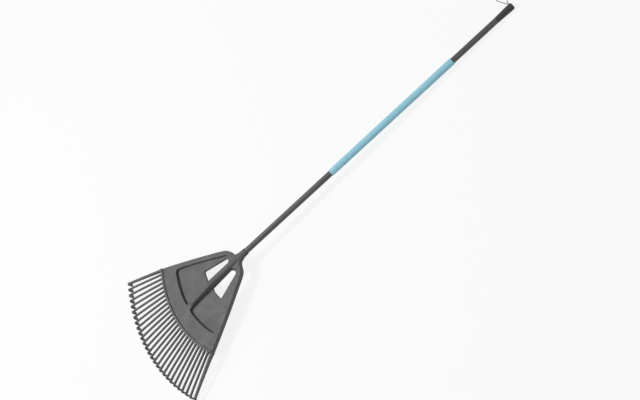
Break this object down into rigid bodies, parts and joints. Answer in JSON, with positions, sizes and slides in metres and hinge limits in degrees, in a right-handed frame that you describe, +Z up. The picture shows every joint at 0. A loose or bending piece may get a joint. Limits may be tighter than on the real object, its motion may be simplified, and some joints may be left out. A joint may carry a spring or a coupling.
{
  "type": "fan rake",
  "caption": "Long handled fan rake: a moulded grey fan head with hooked tines on a dark round tube, a pale blue sleeve round its middle, an end cap and a hanging loop.",
  "frame": {"origin": "on the floor, under the middle of the rake's box measured without the hanging loop", "axes": "+Y along the rake from the grip to the tine tips, +X across the fan, +Z up from the floor that the tine tips and the end cap rest on"},
  "size_m": [0.5158, 1.632, 0.0712],
  "materials": {
    "head_plastic": "fine matte texture",
    "screw_steel": "zinc plated",
    "tube_enamel": "satin dark grey coating",
    "sleeve_foam": "soft matte",
    "cap_plastic": "matte",
    "cord_fibre": "braided"
  },
  "bodies": {
    "root": {"fan_head": "head_plastic", "head_screw": "screw_steel", "handle_tube": "tube_enamel", "grip_sleeve": "sleeve_foam", "end_cap": "cap_plastic", "loop_cord": "cord_fibre", "cord_knot": "cord_fibre"}
  },
  "joints": []
}
